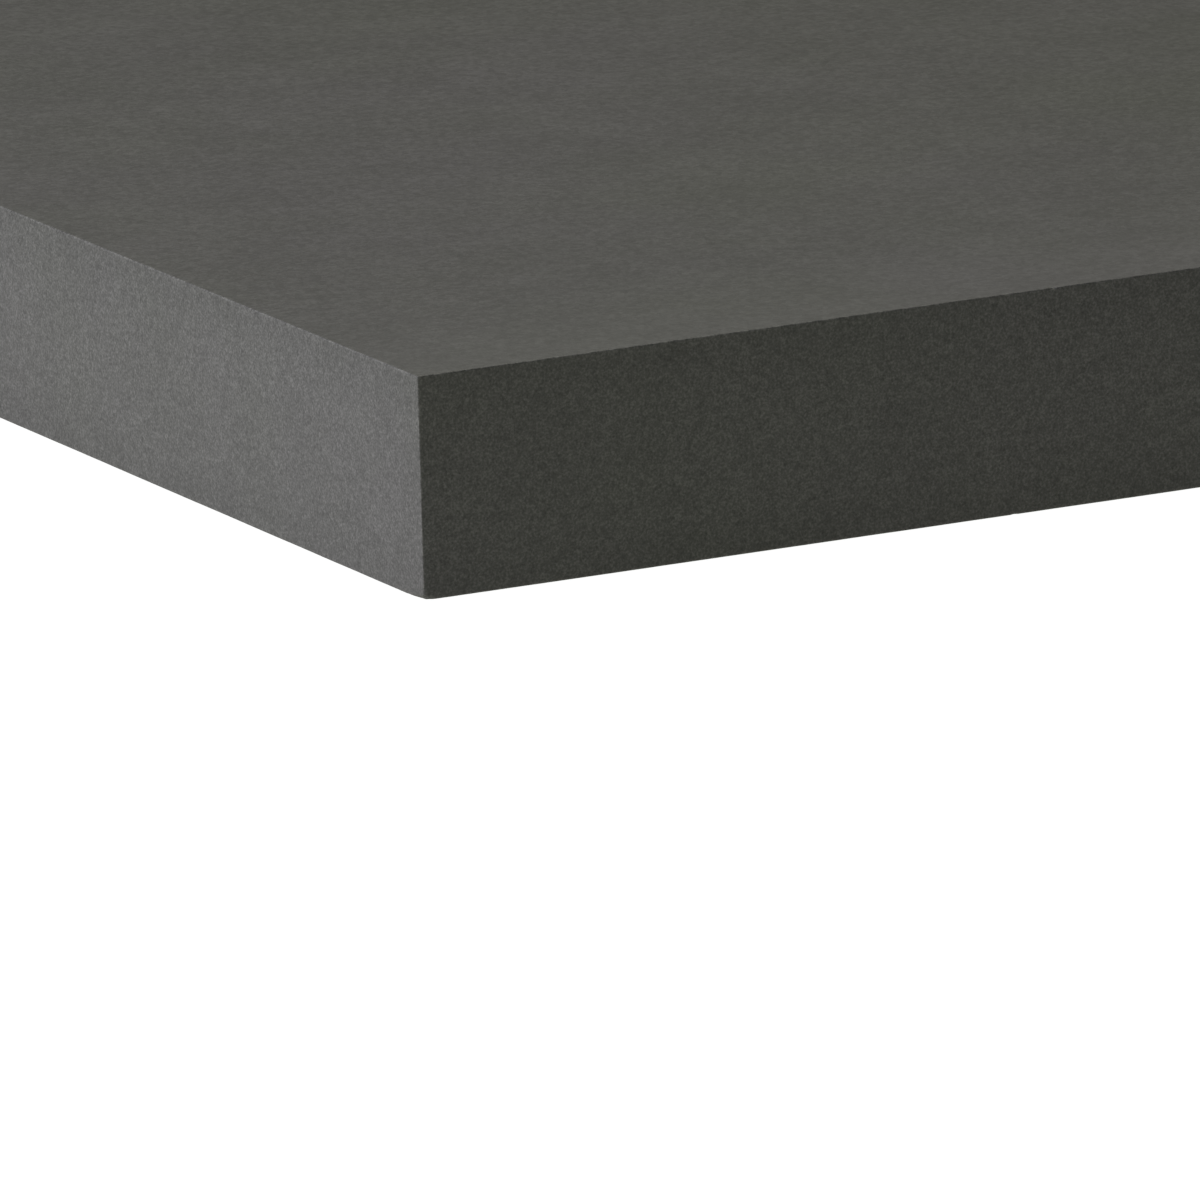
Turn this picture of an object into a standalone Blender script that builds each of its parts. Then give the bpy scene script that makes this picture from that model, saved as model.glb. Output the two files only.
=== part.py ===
"""Granite tooling slab for leatherwork.

A square of honed stone stands on four self-adhesive rubber feet. Units are metres and +Z is up.
The origin is on the bench, under the middle of the slab, and -Y is the front.
"""

import bmesh
import bpy
from mathutils import Vector

# The stone
SLAB_SIDE = 0.305
SLAB_THICKNESS = 0.030
ARRIS_WIDTH = 0.0005  # each sharp edge is eased by hand with a diamond pad
CORNER_EASE = 0.0015  # the four bottom corners are rubbed back further

# A foot: a moulded rubber bumper on a disc of foam tape
BUMPER_RADIUS = 0.0125
BUMPER_HEIGHT = 0.0034
BUMPER_DRAFT = 0.0009  # the bumper is this much narrower, in radius, where it meets the bench
BUMPER_ROUNDING = 0.0005
DISH_RADIUS = 0.0060  # the shallow moulded hollow under the bumper
DISH_DEPTH = 0.0006
TAPE_RADIUS = 0.0118
TAPE_THICKNESS = 0.0008
FOOT_INSET = 0.036  # from a side of the stone to the axis of a foot

FACE_GAP = 0.0003  # clearance between two faces that touch
ROUND_STEPS = 48  # sides of a turned piece
SHARP_ANGLE = 0.6  # radians: a steeper fold than this stays a crisp edge
MERGE_DISTANCE = 0.00001

# Heights that follow from the stack of bumper, tape and stone
TAPE_BOTTOM = BUMPER_HEIGHT + FACE_GAP
SLAB_BOTTOM = TAPE_BOTTOM + TAPE_THICKNESS + FACE_GAP
FOOT_OFFSET = SLAB_SIDE / 2 - FOOT_INSET

FOOT_PLACES = {
    "front_left": Vector((-FOOT_OFFSET, -FOOT_OFFSET, 0)),
    "front_right": Vector((FOOT_OFFSET, -FOOT_OFFSET, 0)),
    "back_left": Vector((-FOOT_OFFSET, FOOT_OFFSET, 0)),
    "back_right": Vector((FOOT_OFFSET, FOOT_OFFSET, 0)),
}


def clear_scene():
    for obj in list(bpy.data.objects):
        bpy.data.objects.remove(obj)


def make_material(name, colour, roughness):
    """A Principled material with a plain colour, in linear RGB."""
    material = bpy.data.materials.new(name)
    material.use_nodes = True
    shader = material.node_tree.nodes["Principled BSDF"]
    shader.inputs["Base Color"].default_value = (*colour, 1)
    shader.inputs["Roughness"].default_value = roughness
    shader.inputs["Metallic"].default_value = 0
    return material


def add_object(name, mesh, place, parent, collection):
    obj = bpy.data.objects.new(name, mesh)
    obj.location = place
    obj.parent = parent
    collection.objects.link(obj)
    return obj


def add_bevel(obj, width, segments):
    bevel = obj.modifiers.new("eased_edges", "BEVEL")
    bevel.width = width
    bevel.segments = segments
    bevel.limit_method = "ANGLE"
    bevel.angle_limit = SHARP_ANGLE


def slab_mesh(material):
    """The sawn block, centred on its own origin, with its bottom corners rubbed back."""
    block = bmesh.new()
    bmesh.ops.create_cube(block, size=1)
    bmesh.ops.scale(block, vec=(SLAB_SIDE, SLAB_SIDE, SLAB_THICKNESS), verts=block.verts)
    bottom_corners = [vert for vert in block.verts if vert.co.z < 0]
    bmesh.ops.bevel(
        block,
        geom=bottom_corners,
        offset=CORNER_EASE,
        segments=1,
        profile=0.5,
        affect="VERTICES",
        material=-1,
    )
    mesh = bpy.data.meshes.new("granite_slab")
    block.to_mesh(mesh)
    block.free()
    mesh.materials.append(material)
    return mesh


def bumper_mesh(material):
    """Half of the bumper's section, from the top middle round to the dish, for a Screw modifier."""
    outline = [
        (0, BUMPER_HEIGHT),
        (BUMPER_RADIUS, BUMPER_HEIGHT),
        (BUMPER_RADIUS - BUMPER_DRAFT, 0),
        (DISH_RADIUS, 0),
        (DISH_RADIUS / 2, DISH_DEPTH),
        (0, DISH_DEPTH),
    ]
    points = [(radius, 0, height) for radius, height in outline]
    links = [(i, i + 1) for i in range(len(points) - 1)]
    mesh = bpy.data.meshes.new("rubber_bumper")
    mesh.from_pydata(points, links, [])
    mesh.materials.append(material)
    return mesh


def add_bumper(name, mesh, place, parent, collection):
    bumper = add_object(name, mesh, place, parent, collection)
    screw = bumper.modifiers.new("turned", "SCREW")
    screw.steps = ROUND_STEPS
    screw.render_steps = ROUND_STEPS
    screw.use_merge_vertices = True
    screw.merge_threshold = MERGE_DISTANCE
    screw.use_smooth_shade = True
    add_bevel(bumper, BUMPER_ROUNDING, 3)
    return bumper


def tape_mesh(material):
    """A disc of double-sided foam tape, centred on its own origin."""
    disc = bmesh.new()
    bmesh.ops.create_cone(
        disc,
        cap_ends=True,
        segments=ROUND_STEPS,
        radius1=TAPE_RADIUS,
        radius2=TAPE_RADIUS,
        depth=TAPE_THICKNESS,
    )
    mesh = bpy.data.meshes.new("tape_disc")
    disc.to_mesh(mesh)
    disc.free()
    mesh.shade_smooth()
    mesh.set_sharp_from_angle(angle=SHARP_ANGLE)
    mesh.materials.append(material)
    return mesh


def build():
    clear_scene()
    collection = bpy.data.collections.new("granite_tooling_slab")
    bpy.context.scene.collection.children.link(collection)
    frame = bpy.data.objects.new("bench_frame", None)
    collection.objects.link(frame)

    granite = make_material("honed_granite", (0.085, 0.085, 0.079), 0.55)
    rubber = make_material("black_rubber", (0.018, 0.018, 0.018), 0.85)
    tape = make_material("foam_tape", (0.55, 0.55, 0.52), 0.9)

    slab_centre = Vector((0, 0, SLAB_BOTTOM + SLAB_THICKNESS / 2))
    slab = add_object("granite_slab", slab_mesh(granite), slab_centre, frame, collection)
    add_bevel(slab, ARRIS_WIDTH, 2)

    bumper = bumper_mesh(rubber)
    disc = tape_mesh(tape)
    tape_centre = Vector((0, 0, TAPE_BOTTOM + TAPE_THICKNESS / 2))
    for corner, place in FOOT_PLACES.items():
        add_bumper("foot_bumper_" + corner, bumper, place, frame, collection)
        add_object("adhesive_disc_" + corner, disc, place + tape_centre, frame, collection)


build()
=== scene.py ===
# Granite tooling slab: the stone, its rubber feet and their tape, on a white studio sweep.
# Everything is in metres, in the frame's own coordinates, and -Y is the front.
import math
import random

import bmesh
import bpy
from mathutils import Matrix, Vector, noise


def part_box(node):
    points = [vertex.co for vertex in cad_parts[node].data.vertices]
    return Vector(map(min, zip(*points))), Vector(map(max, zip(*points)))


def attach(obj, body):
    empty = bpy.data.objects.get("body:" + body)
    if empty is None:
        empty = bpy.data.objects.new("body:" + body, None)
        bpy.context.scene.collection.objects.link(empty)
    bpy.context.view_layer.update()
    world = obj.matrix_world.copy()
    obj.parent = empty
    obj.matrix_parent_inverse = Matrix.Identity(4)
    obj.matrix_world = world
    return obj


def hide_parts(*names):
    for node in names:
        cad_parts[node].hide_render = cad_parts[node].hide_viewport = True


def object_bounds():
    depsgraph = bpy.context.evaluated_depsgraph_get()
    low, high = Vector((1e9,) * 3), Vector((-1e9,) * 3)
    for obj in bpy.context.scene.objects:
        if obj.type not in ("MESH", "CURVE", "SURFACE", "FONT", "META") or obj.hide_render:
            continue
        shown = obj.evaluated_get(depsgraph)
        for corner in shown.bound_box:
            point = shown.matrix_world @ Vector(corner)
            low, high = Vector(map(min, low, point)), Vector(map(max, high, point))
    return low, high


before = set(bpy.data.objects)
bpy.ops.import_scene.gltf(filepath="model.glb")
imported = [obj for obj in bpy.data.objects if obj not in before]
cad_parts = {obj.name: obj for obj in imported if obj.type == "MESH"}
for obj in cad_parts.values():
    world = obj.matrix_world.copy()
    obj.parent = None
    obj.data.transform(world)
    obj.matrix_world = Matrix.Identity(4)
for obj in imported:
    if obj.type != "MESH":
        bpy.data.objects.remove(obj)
cadLow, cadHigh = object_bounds()
mm = 0.001
black, white = (0, 0, 0, 1), (1, 1, 1, 1)
seats = ("front_left", "front_right", "back_left", "back_right")


# Camera: a long lens on the near left corner of the work face

cameraSetup = {
    "lens": 555.5,  # mm
    "sensor": 36,  # mm wide
    "distance": 2.405,  # from the near corner, along the view
    "turn": 27.07,  # degrees from +Y towards +X
    "tilt": 13.47,  # degrees down
    "roll": -1.55,
    "cornerLeft": 0.02375,  # how far the corner lies left of the middle of the view
    "cornerAbove": 0.02903,  # and above it
}


def placeCamera(setup, corner):
    turn, tilt, roll = (math.radians(setup[key]) for key in ("turn", "tilt", "roll"))
    forward = Vector((math.sin(turn) * math.cos(tilt), math.cos(turn) * math.cos(tilt), -math.sin(tilt)))
    level = Vector((math.cos(turn), -math.sin(turn), 0))
    right = Matrix.Rotation(-roll, 3, forward) @ level
    up = right.cross(forward)
    data = bpy.data.cameras.new("portraitCamera")
    data.lens = setup["lens"]
    data.sensor_width = setup["sensor"]
    data.clip_start = 0.1
    data.clip_end = 100
    camera = bpy.data.objects.new("portraitCamera", data)
    bpy.context.scene.collection.objects.link(camera)
    aim = corner + right * setup["cornerLeft"] - up * setup["cornerAbove"]
    place = aim - forward * setup["distance"]
    turned = Matrix((right, up, -forward)).transposed().to_4x4()
    camera.matrix_world = Matrix.Translation(place) @ turned
    bpy.context.scene.camera = camera


stoneLow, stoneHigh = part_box("granite_slab")
placeCamera(cameraSetup, Vector((stoneLow.x, stoneLow.y, stoneHigh.z)))
print("camera placed")


# Helpers for materials and meshes


def hexColour(code):
    # sRGB hex to the linear values that sockets take
    channels = [int(code[i : i + 2], 16) / 255 for i in (1, 3, 5)]
    linear = [c / 12.92 if c <= 0.04045 else ((c + 0.055) / 1.055) ** 2.4 for c in channels]
    return (*linear, 1)


def addNode(tree, kind, settings=None, links=None):
    # one node: settings go to its properties and links to its inputs, each a plain value, an output, or
    # a node that gives its first output in use
    node = tree.nodes.new(kind)
    for name, value in (settings or {}).items():
        setattr(node, name, value)
    for key, value in (links or {}).items():
        if isinstance(value, bpy.types.Node):
            value = next(output for output in value.outputs if output.enabled)
        if isinstance(value, bpy.types.NodeSocket):
            tree.links.new(value, node.inputs[key])
        else:
            node.inputs[key].default_value = value
    return node


def newMaterial(name):
    material = bpy.data.materials.new(name)
    material.use_nodes = True
    material.node_tree.nodes.clear()
    return material, material.node_tree


noiseRoughness = 0.55  # how strongly the finer detail of every noise pattern shows
noiseLow, noiseHigh = 0.35, 0.65  # nearly all of such a pattern lies between these


def setRamp(ramp, stops):
    # stops: (position, colour) from left to right
    elements = ramp.color_ramp.elements
    while len(elements) < len(stops):
        elements.new(0.5)
    for element, (position, colour) in zip(elements, stops):
        element.position = position
        element.color = colour


sharpFrom = 35  # degrees between two faces, from which the edge between them is drawn sharp


def finishPiece(shape, name, materials, node):
    # turns a bmesh into a piece that rides on the frame in place of a CAD node
    mesh = bpy.data.meshes.new(name)
    for face in shape.faces:
        face.smooth = True
    for edge in shape.edges:
        edge.smooth = edge.calc_face_angle(0) < math.radians(sharpFrom)
    shape.to_mesh(mesh)
    shape.free()
    for material in materials:
        mesh.materials.append(material)
    piece = bpy.data.objects.new(name, mesh)
    bpy.context.scene.collection.objects.link(piece)
    shading = piece.modifiers.new("flatsStayFlat", "WEIGHTED_NORMAL")
    shading.keep_sharp = True
    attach(piece, "root")
    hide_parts(node)


# Stone: a sawn and honed block whose sharp edges were eased by hand

stone = {
    "bands": (0.12, 0.25, 0.4, 0.7, 1.5),  # mm from an edge to the lines that carry its rounding
    "step": 0.4,  # mm between points along an edge
    "topEase": 0.2,  # mm, radius of the top edges
    "uprightEase": 0.19,  # mm, of the four corners' uprights
    "bottomEase": 0.22,  # mm, of the bottom edges
    "mostEase": 1.45,  # mm, the widest that an edge may get
    "cornerEase": 0.85,  # mm more where a bottom corner is rubbed back
    "cornerReach": (1.0, 2.4, 0.9),  # mm over which that fades along X, Y and Z
    "waves": ((9.0, 0.2), (1.3, 0.1)),  # mm long, and the share by which the edge's width changes
    "chipLength": 2.2,  # mm, of the patches that may hold a chip
    "chipOnset": 0.56,  # how far the noise has to rise for one: more leaves fewer chips
    "chipDepth": 2.6,  # mm, for a whole unit of noise beyond that
    "wornWidth": 1.6,  # radii from the edge over which its bruised grains fade out
    "levelFrom": 0.995,  # how far upright a face's normal is on the work face and on the sawn back
}


def bandedBlock(low, high, bands):
    # a block whose faces are cut by lines close to every edge
    block = bmesh.new()
    bmesh.ops.create_cube(block, size=1)
    bmesh.ops.scale(block, vec=high - low, verts=block.verts)
    bmesh.ops.translate(block, vec=(low + high) / 2, verts=block.verts)
    for axis in range(3):
        normal = Vector([float(axis == i) for i in range(3)])
        for band in bands:
            for place in (low + normal * band * mm, high - normal * band * mm):
                everything = block.verts[:] + block.edges[:] + block.faces[:]
                bmesh.ops.bisect_plane(block, geom=everything, dist=1e-7, plane_co=place, plane_no=normal)
    return block


def edgeDistances(point, low, high):
    return [min(point[i] - low[i], high[i] - point[i]) for i in range(3)]


def divideEdges(block, low, high, reach, step):
    # points every step along the lines that run beside an edge of the block
    byCuts = {}
    for edge in block.edges:
        cuts = round(edge.calc_length() / step) - 1
        near = [sorted(edgeDistances(v.co, low, high))[1] < reach for v in edge.verts]
        if cuts > 1 and all(near):
            byCuts.setdefault(cuts, []).append(edge)
    for cuts, edges in byCuts.items():
        bmesh.ops.subdivide_edges(block, edges=edges, cuts=cuts)


def easeRadius(point, low, high, setup):
    # how far the edge near this point was rubbed back or chipped, in metres
    dx, dy, dz = edgeDistances(point, low, high)
    upright = max(dx, dy) < dz
    atTop = point.z > (low.z + high.z) / 2
    radius = setup["uprightEase"] if upright else setup["topEase"] if atTop else setup["bottomEase"]
    for length, share in setup["waves"]:
        radius *= 1 + share * noise.noise(point / (length * mm) + Vector((length, 3, 1)))
    chips = Vector((0, 5, 9))  # keeps them clear of the waves' own pattern
    rise = noise.noise(point / (setup["chipLength"] * mm) + chips) - setup["chipOnset"]
    radius += max(rise, 0) * setup["chipDepth"]
    if not atTop:
        away = [distance / (reach * mm) for distance, reach in zip((dx, dy, dz), setup["cornerReach"])]
        radius += setup["cornerEase"] * math.exp(-sum(share * share for share in away))
    return min(radius, setup["mostEase"]) * mm


def easeEdges(block, low, high, setup):
    # each point near an edge is drawn onto a rounding about the edge of a smaller block
    arris = block.verts.layers.float.new("arris")  # 1 on the edge itself, for the material
    for vert in block.verts:
        fromEdge = sorted(edgeDistances(vert.co, low, high))[1]
        if fromEdge > max(setup["bands"]) * mm:
            continue
        radius = easeRadius(vert.co, low, high, setup)
        vert[arris] = max(0, 1 - fromEdge / (radius * setup["wornWidth"]))
        core = Vector([min(max(vert.co[i], low[i] + radius), high[i] - radius) for i in range(3)])
        vert.co = core + (vert.co - core).normalized() * radius


def makeStone(setup, materials):
    low, high = stoneLow, stoneHigh
    block = bandedBlock(low, high, setup["bands"])
    reach = (max(setup["bands"]) + 0.01) * mm  # takes in the last of the lines
    divideEdges(block, low, high, reach, setup["step"] * mm)
    easeEdges(block, low, high, setup)
    bmesh.ops.recalc_face_normals(block, faces=block.faces)
    block.normal_update()
    for face in block.faces:
        upward, level = face.normal.z, setup["levelFrom"]
        face.material_index = 0 if upward > level else 2 if upward < -level else 1
    print("stone:", len(block.faces), "faces")
    finishPiece(block, "granite_block", materials, "granite_slab")


# Materials of the stone. It is a fine, even black granite, close to gabbro: dark pyroxene and grey feldspar
# in grains of half a millimetre, which blend to a soft anthracite once the polish is honed off.

granite = {
    "dark": "#2e2e2b",  # pyroxene
    "mid": "#51514d",  # the even anthracite that the eye sees
    "light": "#74746f",  # feldspar
    "paleBruiseAndLight": "#70706a",  # crushed grains along an edge, and the painted light by the front of the work face
    "greyTint": (1.016, 0.995, 1.034, 1),  # the slow drift of hue, between feldspar that is a little violet
    "oliveTint": (0.986, 1.005, 0.955, 1),  # and altered pyroxene that is a little green
    "ior": 1.5,
    "grain": 0.3,  # mm, the smallest grains that show
    "crystal": 0.6,  # mm across a common crystal
    "clot": 1.6,  # mm across a group of crystals
    "cloud": 14.0,  # mm across a slow change in tone
    "tint": 88.0,  # mm across a change in hue, with smaller ones inside it
    "bruise": 0.7,  # mm between the crushed spots on an edge
    "shadeReach": 8.0,  # mm from an edge over which a side darkens
    "paintedLightReach": 40.0,  # mm from the front edge over which the painted light on the work face fades out
}

# What each way of working the stone shows of its minerals: how much of the range from dark to light each
# pattern may cover. Grinding and sawing tear the smallest grains, so that they stand out, and honing evens
# them.
finishes = {
    "honed": {
        "tone": 0.545,  # where its middle tone lies between dark and light: raised above the 0.5 of the other finishes as painted sheen, making up for the reflection that the low sheen setting takes off the work face
        "grain": 0.32,
        "crystal": 0.14,
        "clot": 0.26,
        "cloud": 0.18,
        "edgeShade": 0.0,
        "frontPaintedLight": 0.12,  # how much of the pale colour is painted by the front edge: painted light, brightening the work face towards its front
        "roughness": (0.66, 0.72),
        "sheen": 0.3,  # what the open pores leave of a polished face's reflection, where 0.5 is all of it
        "grit": 0.4,  # mm
        "gritDepth": 0.004,  # mm
        "sawDepth": 0.0,
        "sawTone": 0.0,
    },
    "ground": {
        "tone": 0.5,
        "grain": 1.04,
        "crystal": 0.16,
        "clot": 0.16,
        "cloud": 0.12,
        "edgeShade": 0.1,  # how much darker the sides are towards their top and bottom edges
        "frontPaintedLight": 0.0,
        "roughness": (0.62, 0.68),
        "sheen": 0.5,
        "grit": 0.35,
        "gritDepth": 0.006,
        "sawDepth": 0.0,
        "sawTone": 0.0,
    },
    "sawn": {
        "tone": 0.5,
        "grain": 1.04,
        "crystal": 0.12,
        "clot": 0.24,
        "cloud": 0.2,
        "edgeShade": 0.0,
        "frontPaintedLight": 0.0,
        "roughness": (0.74, 0.86),
        "sheen": 0.5,
        "grit": 0.6,
        "gritDepth": 0.05,
        "sawDepth": 0.06,  # mm, of the arcs that the blade left
        "sawTone": 0.1,  # the crushed ridges between them are paler
    },
}

saw = {
    "fromBlade": (0.42, -0.55, 0),  # m, from the middle of the blade to the slab's: its marks are wide arcs
    "pitch": 3.2,  # mm the stone moved between two marks
    "wander": 4.0,  # how far the marks stray, and how fine their smaller wobbles are
    "wobble": 3.0,
    "wobbleScale": 1.5,
    "patch": 45.0,  # mm across a patch where the marks are deep or nearly gone
    "faintest": 0.1,  # what is left of them there
}


def stoneColour(tree, where, crystals, arcs, finish):
    # the minerals: a tone for each crystal, softer ones for clots and for grains inside it, clouds over all
    layers = [(crystals.outputs["Red"], finish["crystal"])]
    for key, detail in (("grain", 1.0), ("clot", 2.0), ("cloud", 4.0)):
        pattern = addNode(tree, "ShaderNodeTexNoise", links={
            "Vector": where, "Scale": 1000 / granite[key], "Detail": detail, "Roughness": noiseRoughness})
        layers.append((pattern, finish[key]))
    if arcs is not None:
        layers.append((arcs, finish["sawTone"]))
    tone = finish["tone"] - sum(share for pattern, share in layers) / 2
    for pattern, share in layers:
        tone = addNode(tree, "ShaderNodeMath", {"operation": "MULTIPLY_ADD"}, {0: pattern, 1: share, 2: tone})
    minerals = addNode(tree, "ShaderNodeValToRGB", links={"Fac": tone})
    stops = ((0.0, "dark"), (0.5, "mid"), (1.0, "light"))
    setRamp(minerals, [(position, hexColour(granite[key])) for position, key in stops])
    hue = addNode(tree, "ShaderNodeTexNoise", links={
        "Vector": where, "Scale": 1000 / granite["tint"], "Detail": 5.0, "Roughness": noiseRoughness})
    drift = addNode(tree, "ShaderNodeValToRGB", links={"Fac": hue})
    setRamp(drift, [(noiseLow, granite["greyTint"]), (noiseHigh, granite["oliveTint"])])
    return addNode(tree, "ShaderNodeMix", {"data_type": "RGBA", "blend_type": "MULTIPLY"}, {
        "Factor": 1.0, "A": minerals, "B": drift})


def shadedSides(tree, place, colour, finish):
    # the sides darken towards their top and bottom edges
    middle, half = (stoneLow.z + stoneHigh.z) / 2, (stoneHigh.z - stoneLow.z) / 2
    height = addNode(tree, "ShaderNodeMath", {"operation": "SUBTRACT"}, {0: place.outputs["Z"], 1: middle})
    away = addNode(tree, "ShaderNodeMath", {"operation": "ABSOLUTE"}, {0: height})
    share = addNode(tree, "ShaderNodeMapRange", {"interpolation_type": "SMOOTHSTEP"}, {
        "Value": away,
        "From Min": half - granite["shadeReach"] * mm,
        "From Max": half,
        "To Max": finish["edgeShade"],
    })
    return addNode(tree, "ShaderNodeMix", {"data_type": "RGBA"}, {"Factor": share, "A": colour, "B": black})


def paintedFrontLight(tree, place, colour, finish):
    # painted light: the work face is painted paler towards its front edge
    share = addNode(tree, "ShaderNodeMapRange", {"interpolation_type": "SMOOTHSTEP"}, {
        "Value": place.outputs["Y"],
        "From Min": stoneLow.y + granite["paintedLightReach"] * mm,
        "From Max": stoneLow.y,
        "To Max": finish["frontPaintedLight"],
    })
    return addNode(tree, "ShaderNodeMix", {"data_type": "RGBA"}, {
        "Factor": share, "A": colour, "B": hexColour(granite["paleBruiseAndLight"])})


def bruisedEdge(tree, where, colour):
    # the edge itself is paler in spots, where easing it crushed the grains
    arris = addNode(tree, "ShaderNodeAttribute", {"attribute_name": "arris"})
    patches = addNode(tree, "ShaderNodeTexNoise", links={
        "Vector": where, "Scale": 1000 / granite["bruise"], "Roughness": noiseRoughness})
    spots = addNode(tree, "ShaderNodeValToRGB", links={"Fac": patches})
    setRamp(spots, [(0.45, black), (0.7, white)])
    share = addNode(tree, "ShaderNodeMath", {"operation": "MULTIPLY"}, {0: arris.outputs["Fac"], 1: spots})
    return addNode(tree, "ShaderNodeMix", {"data_type": "RGBA"}, {
        "Factor": share, "A": colour, "B": hexColour(granite["paleBruiseAndLight"])})


def sawArcs(tree, where):
    # wide arcs with a regular pitch and some wander, which fade out in places
    centred = addNode(tree, "ShaderNodeMapping", links={"Vector": where, "Location": saw["fromBlade"]})
    arcs = addNode(tree, "ShaderNodeTexWave", {"wave_type": "RINGS", "rings_direction": "Z"}, {
        "Vector": centred,
        "Scale": math.pi / (10 * saw["pitch"] * mm),  # the node makes twenty radians of wave a unit
        "Distortion": saw["wander"],
        "Detail": saw["wobble"],
        "Detail Scale": saw["wobbleScale"],
    })
    patches = addNode(tree, "ShaderNodeTexNoise", links={
        "Vector": where, "Scale": 1000 / saw["patch"], "Roughness": noiseRoughness})
    strength = addNode(tree, "ShaderNodeMapRange", {"clamp": False}, {
        "Value": patches, "From Min": noiseLow, "From Max": noiseHigh, "To Min": saw["faintest"]})
    return addNode(tree, "ShaderNodeMath", {"operation": "MULTIPLY"}, {0: arcs.outputs["Fac"], 1: strength})


def stoneMaterial(name, finish):
    material, tree = newMaterial(name)
    where = addNode(tree, "ShaderNodeTexCoord").outputs["Object"]
    place = addNode(tree, "ShaderNodeSeparateXYZ", links={"Vector": where})
    cells = addNode(tree, "ShaderNodeTexVoronoi", links={"Vector": where, "Scale": 1000 / granite["crystal"]})
    crystals = addNode(tree, "ShaderNodeSeparateColor", links={"Color": cells.outputs["Color"]})
    arcs = sawArcs(tree, where) if finish["sawDepth"] else None
    colour = stoneColour(tree, where, crystals, arcs, finish)
    if finish["edgeShade"]:
        colour = shadedSides(tree, place, colour, finish)
    # painted light: the work face grows paler towards its front edge
    if finish["frontPaintedLight"]:
        colour = paintedFrontLight(tree, place, colour, finish)
    grit = addNode(tree, "ShaderNodeTexNoise", links={
        "Vector": where, "Scale": 1000 / finish["grit"], "Roughness": noiseRoughness})
    height = addNode(tree, "ShaderNodeMath", {"operation": "MULTIPLY"}, {
        0: grit, 1: finish["gritDepth"] * mm})
    if arcs is not None:
        height = addNode(tree, "ShaderNodeMath", {"operation": "MULTIPLY_ADD"}, {
            0: arcs, 1: finish["sawDepth"] * mm, 2: height})
    low, high = finish["roughness"]
    roughness = addNode(tree, "ShaderNodeMapRange", links={
        "Value": crystals.outputs["Green"], "To Min": low, "To Max": high})
    bump = addNode(tree, "ShaderNodeBump", links={"Height": height, "Distance": 1.0})
    shader = addNode(tree, "ShaderNodeBsdfPrincipled", links={
        "Base Color": bruisedEdge(tree, where, colour),
        "Roughness": roughness,
        "IOR": granite["ior"],
        "Specular IOR Level": finish["sheen"],
        "Normal": bump,
    })
    addNode(tree, "ShaderNodeOutputMaterial", links={"Surface": shader})
    return material


honedGranite = stoneMaterial("honed black granite", finishes["honed"])
groundGranite = stoneMaterial("ground granite edge", finishes["ground"])
sawnGranite = stoneMaterial("sawn granite back", finishes["sawn"])
makeStone(stone, [honedGranite, groundGranite, sawnGranite])


# Feet: a moulded rubber bumper stuck under each corner with a disc of foam tape


def turnedShape(outline, roundings, steps, centre):
    # spins a half section given in mm from the axis and from the bench; roundings: corner number to radius
    shape = bmesh.new()
    corners = [shape.verts.new((radius * mm, 0, height * mm)) for radius, height in outline]
    for first, second in zip(corners, corners[1:]):
        shape.edges.new((first, second))
    for number, radius in roundings.items():
        bmesh.ops.bevel(
            shape, geom=[corners[number]], offset=radius * mm, offset_type="OFFSET", affect="VERTICES",
            segments=4, profile=0.5, material=-1)
    bmesh.ops.spin(
        shape, geom=shape.verts[:] + shape.edges[:], cent=(0, 0, 0), axis=(0, 0, 1), angle=2 * math.pi,
        steps=steps, use_merge=True)
    bmesh.ops.remove_doubles(shape, verts=shape.verts, dist=1e-6)
    bmesh.ops.recalc_face_normals(shape, faces=shape.faces)
    bmesh.ops.translate(shape, vec=centre, verts=shape.verts)
    # the operators leave points and faces in a new order each run, so both are sorted along a slanting line
    slant = Vector((0.8, 0.5, 0.3))
    shape.verts.sort(key=lambda vert: vert.co.dot(slant))
    shape.faces.sort(key=lambda face: face.calc_center_median().dot(slant))
    return shape


def footCentre(seat):
    low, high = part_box("foot_bumper_" + seat)
    return Vector(((low.x + high.x) / 2, (low.y + high.y) / 2, low.z))


bumper = {
    "radius": 12.5,  # mm, where it meets the tape
    "footRadius": 11.6,  # mm, where it meets the bench, before the edge is rounded
    "footRounding": 0.7,  # mm
    "rimRounding": 0.25,
    "flashHeight": 2.1,  # mm, where the two halves of the mould met
    "flashProud": 0.09,
    "flashWidth": 0.22,
    "dishRadius": 6.0,
    "dishDepth": 0.6,
    "dishSlope": 0.7,
    "dishRounding": 0.25,
    "gripRings": (7.3, 9.8),  # mm, middles of the shallow grooves in the ring that stands on the bench
    "gripWidth": 0.6,
    "gripDepth": 0.25,
    "gateRadius": 0.7,  # the stub left where the rubber was fed into the mould
    "gateHeight": 0.2,
    "steps": 96,
}


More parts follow.
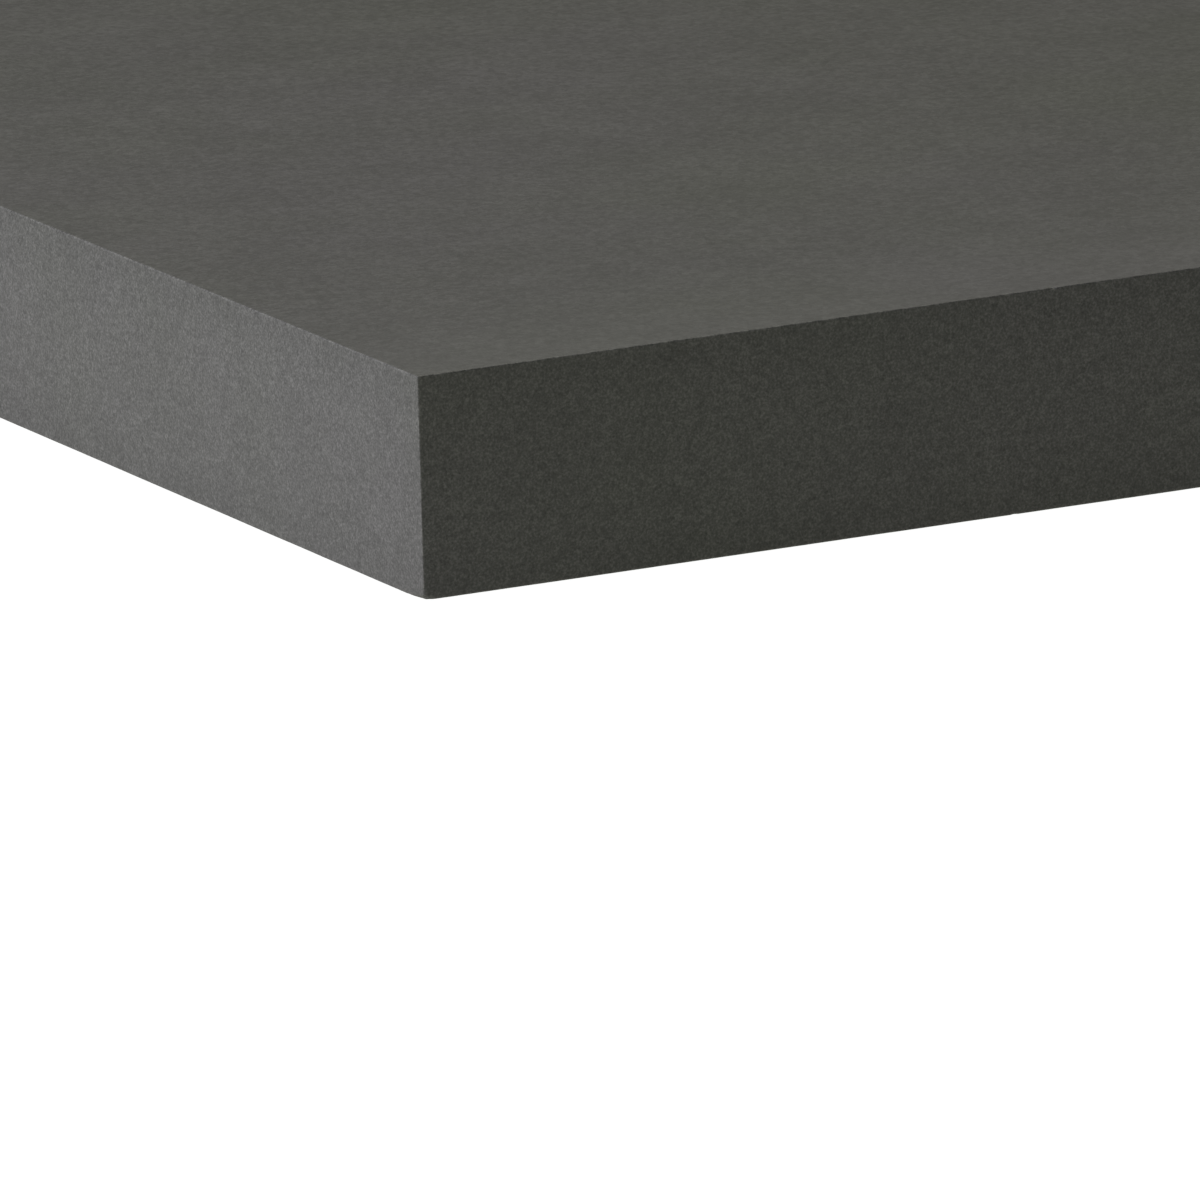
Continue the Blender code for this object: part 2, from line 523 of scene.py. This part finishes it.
def makeBumper(setup, seat, material):
    low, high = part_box("foot_bumper_" + seat)
    top = (high.z - low.z) / mm
    slope = (setup["radius"] - setup["footRadius"]) / top
    outline = [(0, top), (setup["radius"], top)]
    roundings = {1: setup["rimRounding"]}
    for side, proud in ((0.5, 0), (0, setup["flashProud"]), (-0.5, 0)):
        height = setup["flashHeight"] + side * setup["flashWidth"]
        outline.append((setup["footRadius"] + slope * height + proud, height))
    roundings[len(outline)] = setup["footRounding"]
    outline.append((setup["footRadius"], 0))
    half = setup["gripWidth"] / 2
    for ring in reversed(setup["gripRings"]):
        outline += [(ring + half, 0), (ring + half / 2, setup["gripDepth"])]
        outline += [(ring - half / 2, setup["gripDepth"]), (ring - half, 0)]
    dish, gate = setup["dishDepth"], setup["dishDepth"] - setup["gateHeight"]
    for corner in ((setup["dishRadius"], 0), (setup["dishRadius"] - setup["dishSlope"], dish)):
        roundings[len(outline)] = setup["dishRounding"]
        outline.append(corner)
    outline += [(setup["gateRadius"], dish), (setup["gateRadius"], gate), (0, gate)]
    shape = turnedShape(outline, roundings, setup["steps"], footCentre(seat))
    finishPiece(shape, "rubber_bumper_" + seat, [material], "foot_bumper_" + seat)


tape = {
    "radius": 11.8,  # mm
    "film": 0.1,  # mm, the adhesive film on either face of the foam
    "waist": 0.2,  # mm, how far the foam stands back behind the films
    "bulge": 0.12,  # mm, how far its middle swells out again
    "bulgeRounding": 0.4,
    "gap": 0.02,  # mm, glue line to the rubber and to the stone
    "drift": 0.25,  # mm, how far off centre a disc may be stuck
    "steps": 96,
    "seed": 5,
}


def makeTape(setup, seat, material, drift):
    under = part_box("foot_bumper_" + seat)[1].z
    high = (stoneLow.z - cadLow.z) / mm - setup["gap"]
    low = (under - cadLow.z) / mm + setup["gap"]
    radius, film, waist = setup["radius"], setup["film"], setup["radius"] - setup["waist"]
    outline = [
        (0, high), (radius, high), (radius, high - film), (waist, high - film),
        (waist + setup["bulge"], (low + high) / 2),
        (waist, low + film), (radius, low + film), (radius, low), (0, low)]
    shape = turnedShape(outline, {4: setup["bulgeRounding"]}, setup["steps"], footCentre(seat) + drift)
    finishPiece(shape, "tape_disc_" + seat, [material], "adhesive_disc_" + seat)


rubber = {
    "dark": "#1f1f1e",
    "pale": "#2b2b29",
    "dust": "#4b4944",
    "frost": 0.25,  # mm between the pits that the mould's surface left
    "frostDepth": 0.02,  # mm
    "dustReach": 0.3,  # mm above the bench
    "dustShare": 0.7,
    "dustPatch": 3.0,  # mm across a patch of it
    "dustFaintest": 0.2,  # what is left between the patches
    "roughness": (0.66, 0.9),  # clean and dusty
    "ior": 1.52,
}


def rubberMaterial(setup):
    # moulded rubber: near black and dull, frosted by the spark-eroded mould, with bench dust on its foot; the
    # frost is coloured with painted shade in its pits and painted highlight on its peaks
    material, tree = newMaterial("moulded black rubber")
    where = addNode(tree, "ShaderNodeTexCoord").outputs["Object"]
    frost = addNode(tree, "ShaderNodeTexNoise", links={
        "Vector": where, "Scale": 1000 / setup["frost"], "Roughness": noiseRoughness})
    # painted shade and highlight: darker where the frost's bump is low, paler where it is high
    clean = addNode(tree, "ShaderNodeValToRGB", links={"Fac": frost})
    setRamp(clean, [(0.3, hexColour(setup["dark"])), (0.7, hexColour(setup["pale"]))])
    place = addNode(tree, "ShaderNodeSeparateXYZ", links={"Vector": where})
    low = addNode(tree, "ShaderNodeMapRange", links={
        "Value": place.outputs["Z"],
        "From Min": cadLow.z,
        "From Max": cadLow.z + setup["dustReach"] * mm,
        "To Min": setup["dustShare"],
        "To Max": 0.0,
    })
    pattern = addNode(tree, "ShaderNodeTexNoise", links={
        "Vector": where, "Scale": 1000 / setup["dustPatch"], "Detail": 3.0, "Roughness": noiseRoughness})
    patches = addNode(tree, "ShaderNodeMapRange", links={
        "Value": pattern, "From Min": noiseLow, "From Max": noiseHigh, "To Min": setup["dustFaintest"]})
    dust = addNode(tree, "ShaderNodeMath", {"operation": "MULTIPLY"}, {0: low, 1: patches})
    colour = addNode(tree, "ShaderNodeMix", {"data_type": "RGBA"}, {
        "Factor": dust, "A": clean, "B": hexColour(setup["dust"])})
    wiped, dusty = setup["roughness"]
    bump = addNode(tree, "ShaderNodeBump", links={"Height": frost, "Distance": setup["frostDepth"] * mm})
    shader = addNode(tree, "ShaderNodeBsdfPrincipled", links={
        "Base Color": colour,
        "Roughness": addNode(tree, "ShaderNodeMapRange", links={
            "Value": dust, "To Min": wiped, "To Max": dusty}),
        "IOR": setup["ior"],
        "Normal": bump,
    })
    addNode(tree, "ShaderNodeOutputMaterial", links={"Surface": shader})
    return material


foam = {
    # pit: painted shade, the darker colour at the bottom of each cut cell
    "pit": "#a9a8a2",
    "skin": "#cbcac4",
    "cell": 0.22,  # mm
    "cellWall": 0.6,  # how far from its middle, in cells, the skin begins
    "cellDepth": 0.05,  # mm
    "roughness": (0.92, 0.8),  # in a pit and on the skin
    "ior": 1.5,
}


def foamMaterial(setup):
    # closed-cell polyethylene foam tape: off-white and dull, pitted with fine cells where it was cut, and
    # with painted shade darkening each pit
    material, tree = newMaterial("white foam tape")
    where = addNode(tree, "ShaderNodeTexCoord").outputs["Object"]
    cells = addNode(tree, "ShaderNodeTexVoronoi", links={"Vector": where, "Scale": 1000 / setup["cell"]})
    pits = cells.outputs["Distance"]
    # painted shade: the colour darkens towards the bottom of each pit
    colour = addNode(tree, "ShaderNodeValToRGB", links={"Fac": pits})
    setRamp(colour, [(0.0, hexColour(setup["pit"])), (setup["cellWall"], hexColour(setup["skin"]))])
    inside, skin = setup["roughness"]
    bump = addNode(tree, "ShaderNodeBump", links={"Height": pits, "Distance": setup["cellDepth"] * mm})
    shader = addNode(tree, "ShaderNodeBsdfPrincipled", links={
        "Base Color": colour,
        "Roughness": addNode(tree, "ShaderNodeMapRange", {"clamp": False}, {
            "Value": pits, "From Max": setup["cellWall"], "To Min": inside, "To Max": skin}),
        "IOR": setup["ior"],
        "Normal": bump,
    })
    addNode(tree, "ShaderNodeOutputMaterial", links={"Surface": shader})
    return material


def makeFeet():
    blackRubber, whiteFoam = rubberMaterial(rubber), foamMaterial(foam)
    draw = random.Random(tape["seed"])
    for seat in seats:
        drift = Vector([draw.uniform(-1, 1) * tape["drift"] * mm for _ in range(2)] + [0])
        makeBumper(bumper, seat, blackRubber)
        makeTape(tape, seat, whiteFoam, drift)
    print("feet made")


makeFeet()


# Studio: a white sweep, one large soft light at the left and a weak one behind on the right

studio = {
    "sweepSize": 40.0,
    "sweepColour": "#7c7c7c",
    "sweepRoughness": 0.9,
    "shownGlow": 1.0,  # what lifts the sweep to white where the camera sees it
    "bouncedGlow": 0.511,  # what it throws up at the stone besides its own bounce
    "bouncedColour": "#fcfff0",
    "skyStrength": 0.0,  # what the sky lights, though the camera sees it white
    "lamps": (
        {
            "name": "softKey",
            "place": (-1.13, 0.0, 0.79),
            "size": 0.8,
            "power": 23.3,
            "colour": (0.904, 0.891, 1.0),
        },
        {
            "name": "backFill",
            "place": (0.49, 0.49, 1.19),
            "size": 0.8,
            "power": 5.41,
            "colour": (1.0, 1.0, 0.75),
        },
    ),
}


def byCamera(tree, seen, other):
    # one number where the camera looks straight at the surface, another for the light it sends on
    path = addNode(tree, "ShaderNodeLightPath")
    return addNode(tree, "ShaderNodeMapRange", links={
        "Value": path.outputs["Is Camera Ray"], "To Min": other, "To Max": seen})


def makeSweep(setup):
    floor = bmesh.new()
    bmesh.ops.create_grid(floor, x_segments=1, y_segments=1, size=setup["sweepSize"] / 2)
    bmesh.ops.translate(floor, vec=(0, 0, cadLow.z), verts=floor.verts)
    mesh = bpy.data.meshes.new("sweep")
    floor.to_mesh(mesh)
    floor.free()
    sweep = bpy.data.objects.new("sweep", mesh)
    bpy.context.scene.collection.objects.link(sweep)
    material, tree = newMaterial("matte white sweep")
    glowColour = addNode(tree, "ShaderNodeMix", {"data_type": "RGBA"}, {
        "Factor": byCamera(tree, 1.0, 0.0), "A": hexColour(setup["bouncedColour"]), "B": white})
    shader = addNode(tree, "ShaderNodeBsdfPrincipled", links={
        "Base Color": hexColour(setup["sweepColour"]),
        "Roughness": setup["sweepRoughness"],
        "Emission Color": glowColour,
        "Emission Strength": byCamera(tree, setup["shownGlow"], setup["bouncedGlow"]),
    })
    addNode(tree, "ShaderNodeOutputMaterial", links={"Surface": shader})
    mesh.materials.append(material)


def makeLamp(setup):
    lamp = bpy.data.lights.new(setup["name"], "AREA")
    lamp.shape = "SQUARE"
    lamp.size = setup["size"]
    lamp.energy = setup["power"]
    lamp.color = setup["colour"]
    place = Vector(setup["place"])
    holder = bpy.data.objects.new(setup["name"], lamp)
    holder.location = place
    holder.rotation_mode = "QUATERNION"
    holder.rotation_quaternion = (-place).to_track_quat("-Z", "Y")
    bpy.context.scene.collection.objects.link(holder)


def makeSky(setup):
    world = bpy.data.worlds.new("studioWorld")
    world.use_nodes = True
    bpy.context.scene.world = world
    tree = world.node_tree
    tree.nodes.clear()
    sky = addNode(tree, "ShaderNodeBackground", links={
        "Color": white, "Strength": byCamera(tree, 1.0, setup["skyStrength"])})
    addNode(tree, "ShaderNodeOutputWorld", links={"Surface": sky})


makeSweep(studio)
for lampSetup in studio["lamps"]:
    makeLamp(lampSetup)
makeSky(studio)
bpy.context.scene.view_settings.view_transform = "Standard"
print("studio lit")
